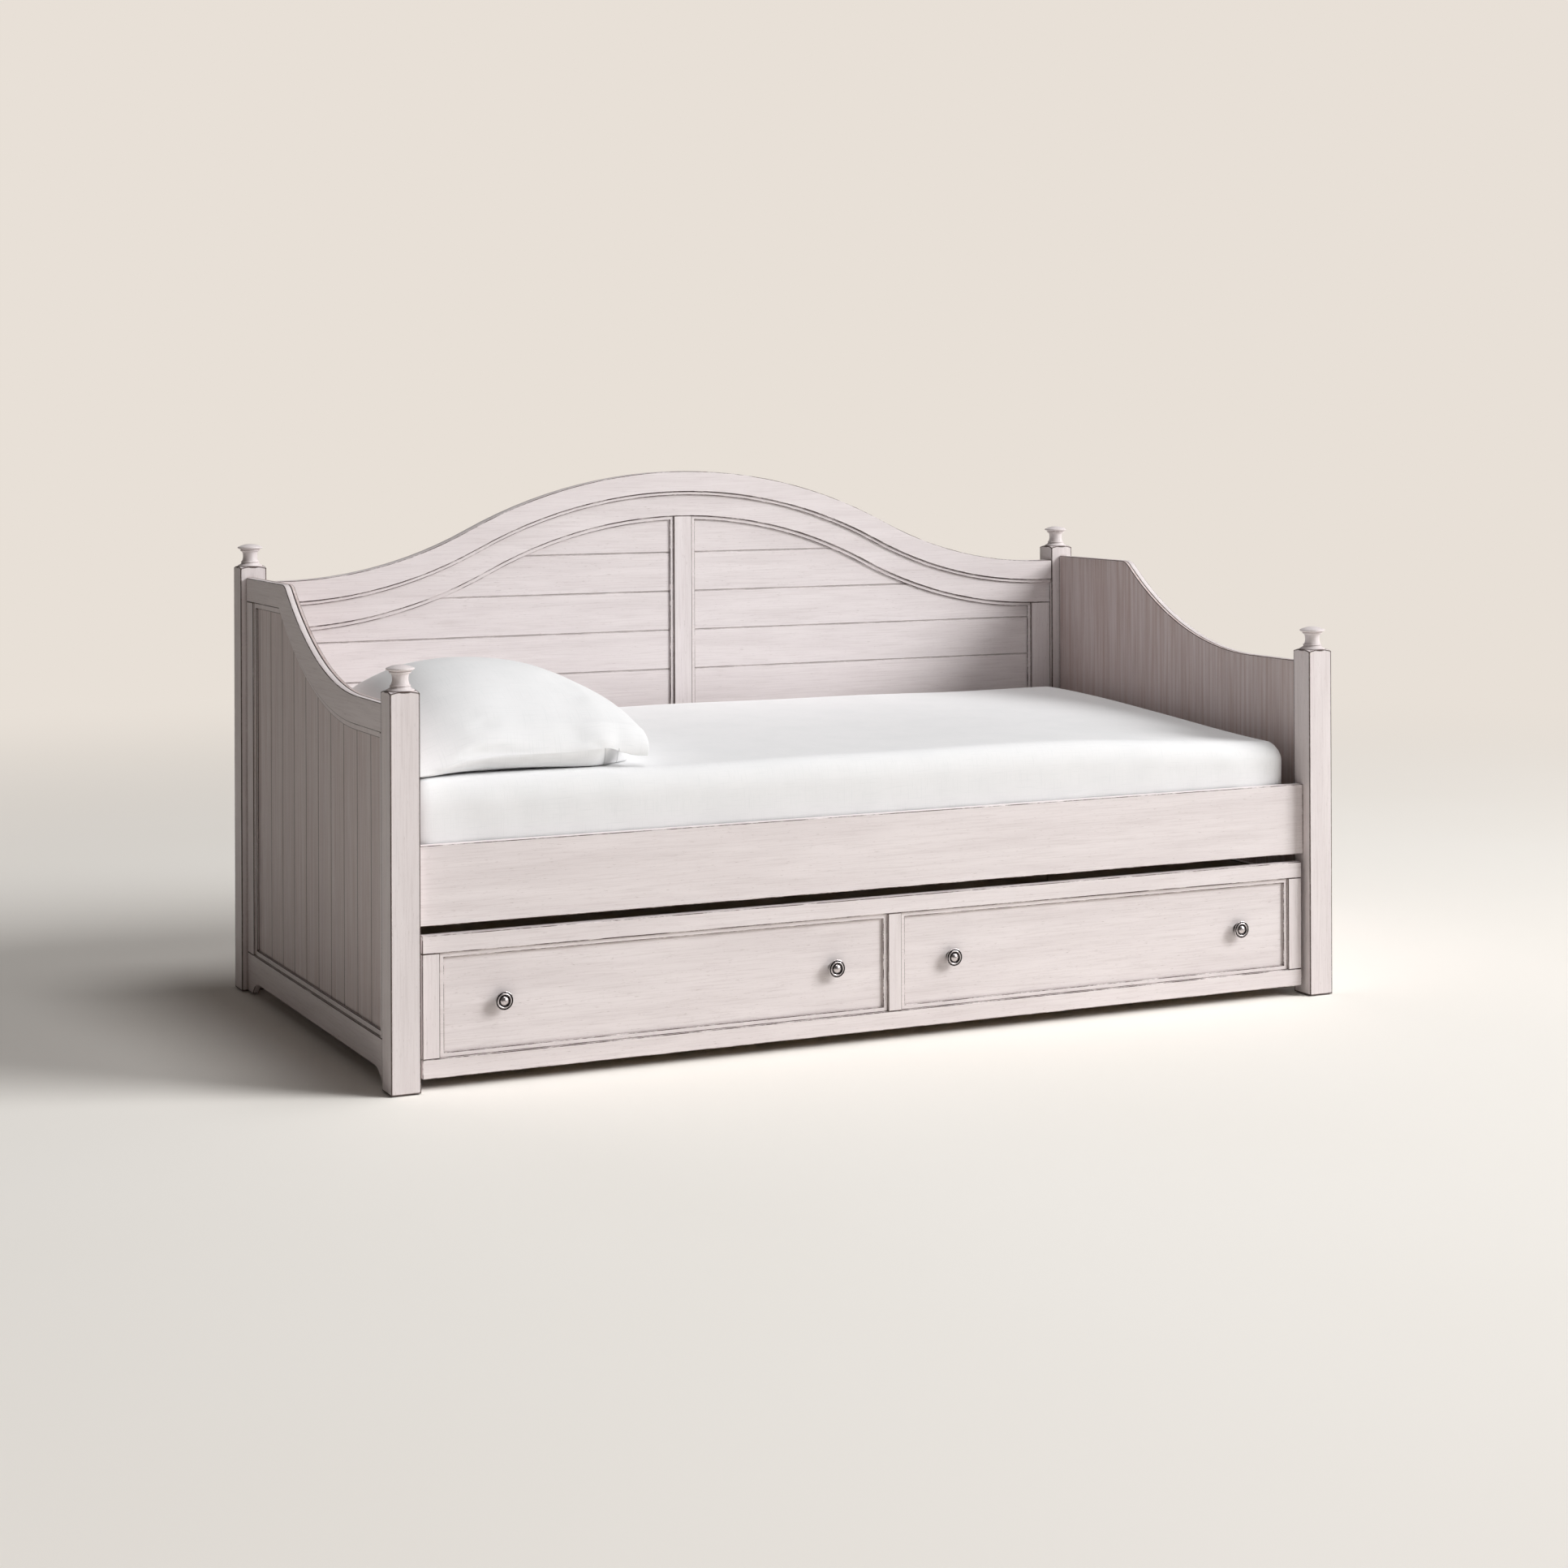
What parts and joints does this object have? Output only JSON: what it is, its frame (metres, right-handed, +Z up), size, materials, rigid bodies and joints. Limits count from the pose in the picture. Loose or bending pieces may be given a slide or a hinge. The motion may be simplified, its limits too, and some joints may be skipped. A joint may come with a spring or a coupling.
{
  "type": "trundle bed",
  "caption": "Twin daybed with an arched plank back and swept side arms; a slatted trundle on wheels rolls out from under its front rail.",
  "frame": {"origin": "on the floor, under the middle of the bed", "axes": "+X along the bed towards its right end as seen from the front, +Y towards the arched back, +Z up; the trundle rolls out along -Y"},
  "size_m": [2.1, 1.126, 1.12],
  "materials": {
    "whitewashed_wood": "satin",
    "bare_pine": "matte",
    "mattress_sheet": "matte",
    "pillowcase": "matte",
    "antique_pewter": "satin",
    "zinc_steel": "satin",
    "nylon": "satin"
  },
  "bodies": {
    "daybed": {"post_front_left": "whitewashed_wood", "post_front_right": "whitewashed_wood", "post_back_left": "whitewashed_wood", "post_back_right": "whitewashed_wood", "finial_front_left": "whitewashed_wood", "finial_front_right": "whitewashed_wood", "finial_back_left": "whitewashed_wood", "finial_back_right": "whitewashed_wood", "arm_top_rail_left": "whitewashed_wood", "arm_top_rail_right": "whitewashed_wood", "arm_bottom_rail_left": "whitewashed_wood", "arm_bottom_rail_right": "whitewashed_wood", "arm_front_stile_left": "whitewashed_wood", "arm_front_stile_right": "whitewashed_wood", "arm_rear_stile_left": "whitewashed_wood", "arm_rear_stile_right": "whitewashed_wood", "arm_boarding_left": "whitewashed_wood", "arm_boarding_right": "whitewashed_wood", "arm_inner_panel_left": "whitewashed_wood", "arm_inner_panel_right": "whitewashed_wood", "arm_mouldings": "whitewashed_wood", "crest_rail": "whitewashed_wood", "arch_rail": "whitewashed_wood", "back_centre_stile": "whitewashed_wood", "back_end_stile_left": "whitewashed_wood", "back_end_stile_right": "whitewashed_wood", "back_planks_left": "whitewashed_wood", "back_planks_right": "whitewashed_wood", "back_mouldings": "whitewashed_wood", "back_rail": "whitewashed_wood", "front_rail": "whitewashed_wood", "rail_hooks": "zinc_steel", "slat_ledgers": "bare_pine", "bed_slats": "bare_pine", "foot_glides": "nylon"},
    "trundle": {"trundle_top_rail": "whitewashed_wood", "trundle_bottom_rail": "whitewashed_wood", "trundle_centre_stile": "whitewashed_wood", "trundle_end_stiles": "whitewashed_wood", "trundle_panel_left": "whitewashed_wood", "trundle_panel_right": "whitewashed_wood", "trundle_mouldings": "whitewashed_wood", "trundle_side_left": "whitewashed_wood", "trundle_side_right": "whitewashed_wood", "trundle_back": "whitewashed_wood", "trundle_ledgers": "bare_pine", "trundle_slats": "bare_pine", "knob_outer_left": "antique_pewter", "knob_inner_left": "antique_pewter", "knob_inner_right": "antique_pewter", "knob_outer_right": "antique_pewter", "knob_screws": "zinc_steel", "caster_forks": "zinc_steel"},
    "mattress": {"mattress": "mattress_sheet"},
    "pillow": {"pillow": "pillowcase"},
    "wheel_front_left": {"wheel_front_left": "nylon"},
    "wheel_front_right": {"wheel_front_right": "nylon"},
    "wheel_back_left": {"wheel_back_left": "nylon"},
    "wheel_back_right": {"wheel_back_right": "nylon"}
  },
  "joints": [
    {"name": "trundle_slide", "type": "slide", "parent": "daybed", "child": "trundle", "axis": [0, -1, 0], "range_m": [0, 1.05]},
    {"name": "mattress_lift", "type": "slide", "parent": "daybed", "child": "mattress", "axis": [0, 0, 1], "range_m": [0, 0.3]},
    {"name": "pillow_lift", "type": "slide", "parent": "mattress", "child": "pillow", "axis": [0, 0, 1], "range_m": [0, 0.3]},
    {"name": "wheel_front_left_spin", "type": "hinge", "parent": "trundle", "child": "wheel_front_left", "pos_m": [-0.88, -0.43, 0.025], "axis": [1, 0, 0], "continuous": true},
    {"name": "wheel_front_right_spin", "type": "hinge", "parent": "trundle", "child": "wheel_front_right", "pos_m": [0.88, -0.43, 0.025], "axis": [1, 0, 0], "continuous": true},
    {"name": "wheel_back_left_spin", "type": "hinge", "parent": "trundle", "child": "wheel_back_left", "pos_m": [-0.88, 0.38, 0.025], "axis": [1, 0, 0], "continuous": true},
    {"name": "wheel_back_right_spin", "type": "hinge", "parent": "trundle", "child": "wheel_back_right", "pos_m": [0.88, 0.38, 0.025], "axis": [1, 0, 0], "continuous": true}
  ],
  "couplings": [
    {"joint": "wheel_front_left_spin", "follows": "trundle_slide", "rad_per_m": 40},
    {"joint": "wheel_front_right_spin", "follows": "trundle_slide", "rad_per_m": 40},
    {"joint": "wheel_back_left_spin", "follows": "trundle_slide", "rad_per_m": 40},
    {"joint": "wheel_back_right_spin", "follows": "trundle_slide", "rad_per_m": 40}
  ]
}
